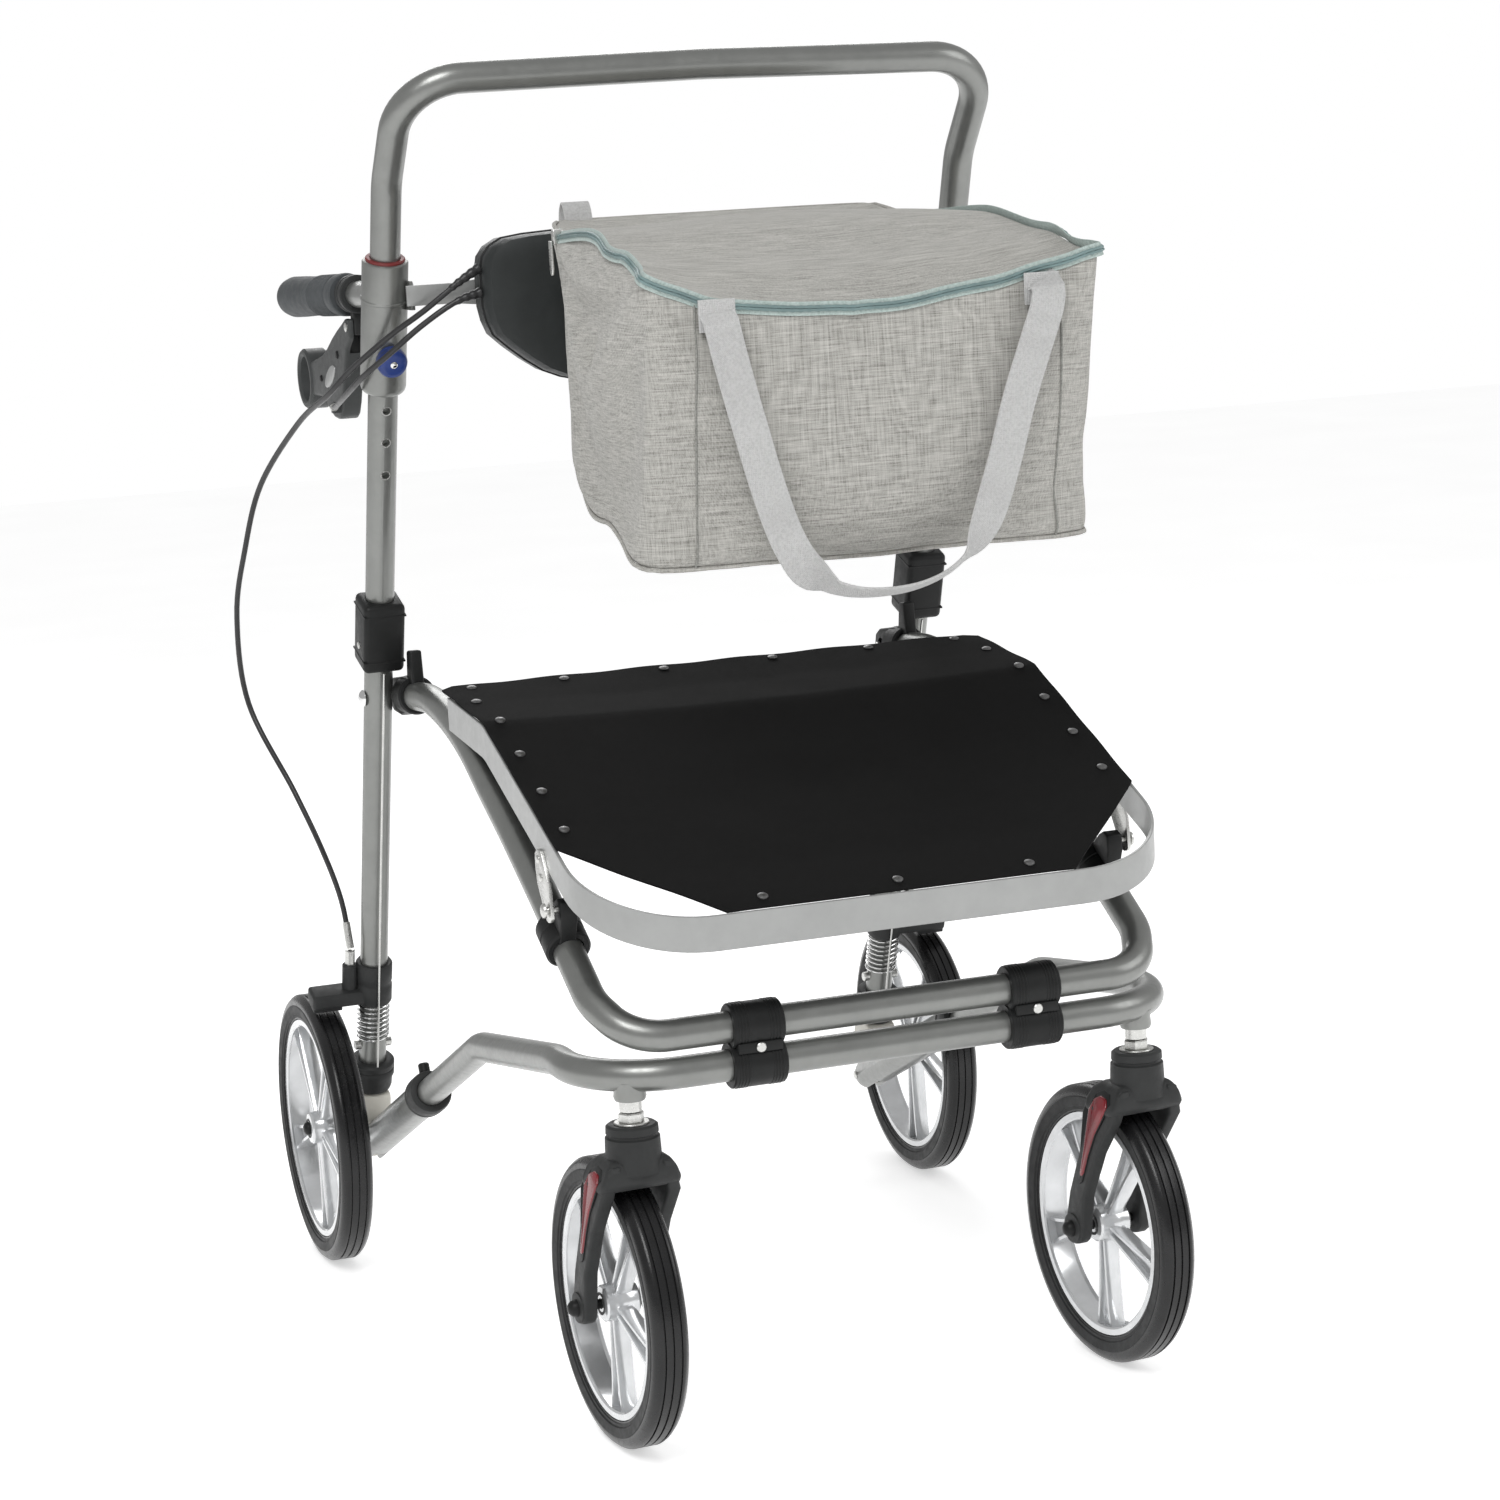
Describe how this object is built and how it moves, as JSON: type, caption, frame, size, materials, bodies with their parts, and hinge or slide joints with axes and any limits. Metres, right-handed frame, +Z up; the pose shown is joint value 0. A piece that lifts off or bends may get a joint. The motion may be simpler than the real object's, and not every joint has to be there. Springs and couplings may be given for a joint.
{
  "type": "folding rollator",
  "caption": "Folding walking frame on wheels with a seat, a backrest hoop, height-adjustable handles with brake levers, and a soft bag.",
  "frame": {"origin": "on the floor, midway between the wheels and midway between the front and rear of the wheels", "axes": "+X to the right seen from the front, +Y to the rear where the user walks, +Z up"},
  "size_m": [0.695, 0.8836, 1.0937],
  "materials": {
    "frame_paint": "satin grey-silver metallic paint",
    "seat_paint": "satin light grey paint",
    "dark_plastic": "moulded dark grey nylon",
    "black_plastic": "moulded black nylon",
    "black_steel": "black coated steel",
    "white_plastic": "moulded off-white nylon",
    "zinc": "bright zinc plated steel",
    "tyre_rubber": "black polyurethane tyre, ribbed",
    "hub_plastic": "bright silvery moulded hub",
    "blue_plastic": "moulded blue plastic",
    "grip_rubber": "soft grey rubber",
    "seat_cloth": "black coated fabric sheet",
    "bag_cloth": "heathered light grey polyester",
    "cable_jacket": "black cable jacket"
  },
  "bodies": {
    "front_frame": {"lower_frame_tube": "frame_paint", "crossbar_clip_left": "black_plastic", "crossbar_clip_right": "black_plastic", "caster_stem_left": "zinc", "caster_stem_right": "zinc"},
    "seat_frame": {"upper_frame_tube": "frame_paint", "seat_hook_left": "black_plastic", "seat_hook_right": "black_plastic", "seat_clamp_left": "black_plastic", "seat_clamp_right": "black_plastic"},
    "seat": {"seat_rim": "seat_paint", "seat_board": "seat_cloth"},
    "strut": {"strut_tube_left": "frame_paint", "strut_tube_right": "frame_paint", "strut_collar_left": "dark_plastic", "strut_collar_right": "dark_plastic"},
    "uprights": {"handle_hoop": "frame_paint", "axle_block_left": "white_plastic", "axle_block_right": "white_plastic", "rear_axle_left": "black_steel", "rear_axle_right": "black_steel", "pivot_bolt_left": "zinc", "pivot_bolt_right": "zinc"},
    "handles": {"cross_strap": "seat_paint", "cable_cover": "black_plastic", "bag": "bag_cloth", "handle_sleeve_left": "frame_paint", "handle_sleeve_right": "frame_paint", "grip_left": "grip_rubber", "grip_right": "grip_rubber", "brake_cable_left": "cable_jacket", "brake_cable_right": "cable_jacket", "lever_cable_left": "cable_jacket", "lever_cable_right": "cable_jacket"},
    "release_left": {"release_slider_left": "black_plastic", "release_wire_left": "zinc", "lock_collar_left": "dark_plastic"},
    "brake_left": {"brake_shoe_left": "dark_plastic"},
    "lever_left": {"brake_lever_left": "dark_plastic"},
    "knob_left": {"height_knob_left": "blue_plastic"},
    "rear_wheel_left": {"rear_hub_left": "hub_plastic", "rear_tyre_left": "tyre_rubber"},
    "caster_left": {"caster_fork_left": "dark_plastic", "caster_axle_left": "black_steel"},
    "front_wheel_left": {"front_hub_left": "hub_plastic", "front_tyre_left": "tyre_rubber"},
    "release_right": {"release_slider_right": "black_plastic", "release_wire_right": "zinc", "lock_collar_right": "dark_plastic"},
    "brake_right": {"brake_shoe_right": "dark_plastic"},
    "lever_right": {"brake_lever_right": "dark_plastic"},
    "knob_right": {"height_knob_right": "blue_plastic"},
    "rear_wheel_right": {"rear_hub_right": "hub_plastic", "rear_tyre_right": "tyre_rubber"},
    "caster_right": {"caster_fork_right": "dark_plastic", "caster_axle_right": "black_steel"},
    "front_wheel_right": {"front_hub_right": "hub_plastic", "front_tyre_right": "tyre_rubber"}
  },
  "joints": [
    {"name": "fold_slide", "type": "slide", "parent": "front_frame", "child": "strut", "axis": [0, -0.9165, 0.4001], "range_m": [0, 0.14]},
    {"name": "upright_hinge", "type": "hinge", "parent": "strut", "child": "uprights", "pos_m": [0, 0.3243, 0.1], "axis": [1, 0, 0], "range_deg": [-11.74, 0]},
    {"name": "seat_frame_hinge", "type": "hinge", "parent": "front_frame", "child": "seat_frame", "pos_m": [0, -0.392, 0.3465], "axis": [1, 0, 0], "range_deg": [0, 8.77]},
    {"name": "seat_lift", "type": "hinge", "parent": "seat_frame", "child": "seat", "pos_m": [0, -0.303, 0.437], "axis": [1, 0, 0], "range_deg": [0, 22]},
    {"name": "handle_height", "type": "slide", "parent": "uprights", "child": "handles", "axis": [0, -0.3354, 0.9421], "range_m": [-0.085, 0], "deforming": ["brake_cable_left", "brake_cable_right"]},
    {"name": "caster_swivel_left", "type": "hinge", "parent": "front_frame", "child": "caster_left", "pos_m": [-0.217, -0.379, 0.27], "axis": [0, 0, 1], "continuous": true},
    {"name": "front_axle_left", "type": "hinge", "parent": "caster_left", "child": "front_wheel_left", "pos_m": [-0.21993, -0.32308, 0.1185], "axis": [0.9986, 0.0523, 0], "continuous": true},
    {"name": "rear_axle_joint_left", "type": "hinge", "parent": "uprights", "child": "rear_wheel_left", "pos_m": [-0.3027, 0.31467, 0.12704], "axis": [1, 0, 0], "continuous": true},
    {"name": "brake_lever_pull_left", "type": "hinge", "parent": "handles", "child": "lever_left", "pos_m": [-0.257, 0.141, 0.877], "axis": [1, 0, 0], "range_deg": [0, 10], "stiffness_Nm_per_rad": 2},
    {"name": "brake_travel_left", "type": "slide", "parent": "uprights", "child": "brake_left", "axis": [0, 0.3354, -0.9421], "range_m": [0, 0.0042]},
    {"name": "height_knob_pull_left", "type": "slide", "parent": "handles", "child": "knob_left", "axis": [0, -0.9421, -0.3354], "range_m": [0, 0.008], "stiffness_N_per_m": 400},
    {"name": "release_pull_left", "type": "slide", "parent": "uprights", "child": "release_left", "axis": [0, -0.3354, 0.9421], "range_m": [0, 0.008], "stiffness_N_per_m": 500},
    {"name": "caster_swivel_right", "type": "hinge", "parent": "front_frame", "child": "caster_right", "pos_m": [0.217, -0.379, 0.27], "axis": [0, 0, 1], "continuous": true},
    {"name": "front_axle_right", "type": "hinge", "parent": "caster_right", "child": "front_wheel_right", "pos_m": [0.21212, -0.32321, 0.1185], "axis": [0.9962, 0.0872, 0], "continuous": true},
    {"name": "rear_axle_joint_right", "type": "hinge", "parent": "uprights", "child": "rear_wheel_right", "pos_m": [0.3027, 0.31467, 0.12704], "axis": [1, 0, 0], "continuous": true},
    {"name": "brake_lever_pull_right", "type": "hinge", "parent": "handles", "child": "lever_right", "pos_m": [0.257, 0.141, 0.877], "axis": [1, 0, 0], "range_deg": [0, 10], "stiffness_Nm_per_rad": 2},
    {"name": "brake_travel_right", "type": "slide", "parent": "uprights", "child": "brake_right", "axis": [0, 0.3354, -0.9421], "range_m": [0, 0.0042]},
    {"name": "height_knob_pull_right", "type": "slide", "parent": "handles", "child": "knob_right", "axis": [0, -0.9421, -0.3354], "range_m": [0, 0.008], "stiffness_N_per_m": 400},
    {"name": "release_pull_right", "type": "slide", "parent": "uprights", "child": "release_right", "axis": [0, -0.3354, 0.9421], "range_m": [0, 0.008], "stiffness_N_per_m": 500}
  ],
  "couplings": [
    {"joint": "upright_hinge", "follows": "fold_slide", "rad_per_m": -1.4381},
    {"joint": "seat_frame_hinge", "follows": "fold_slide", "rad_per_m": 1.0681},
    {"joint": "brake_travel_left", "follows": "brake_lever_pull_left", "m_per_rad": 0.022918},
    {"joint": "brake_travel_right", "follows": "brake_lever_pull_right", "m_per_rad": 0.022918}
  ]
}
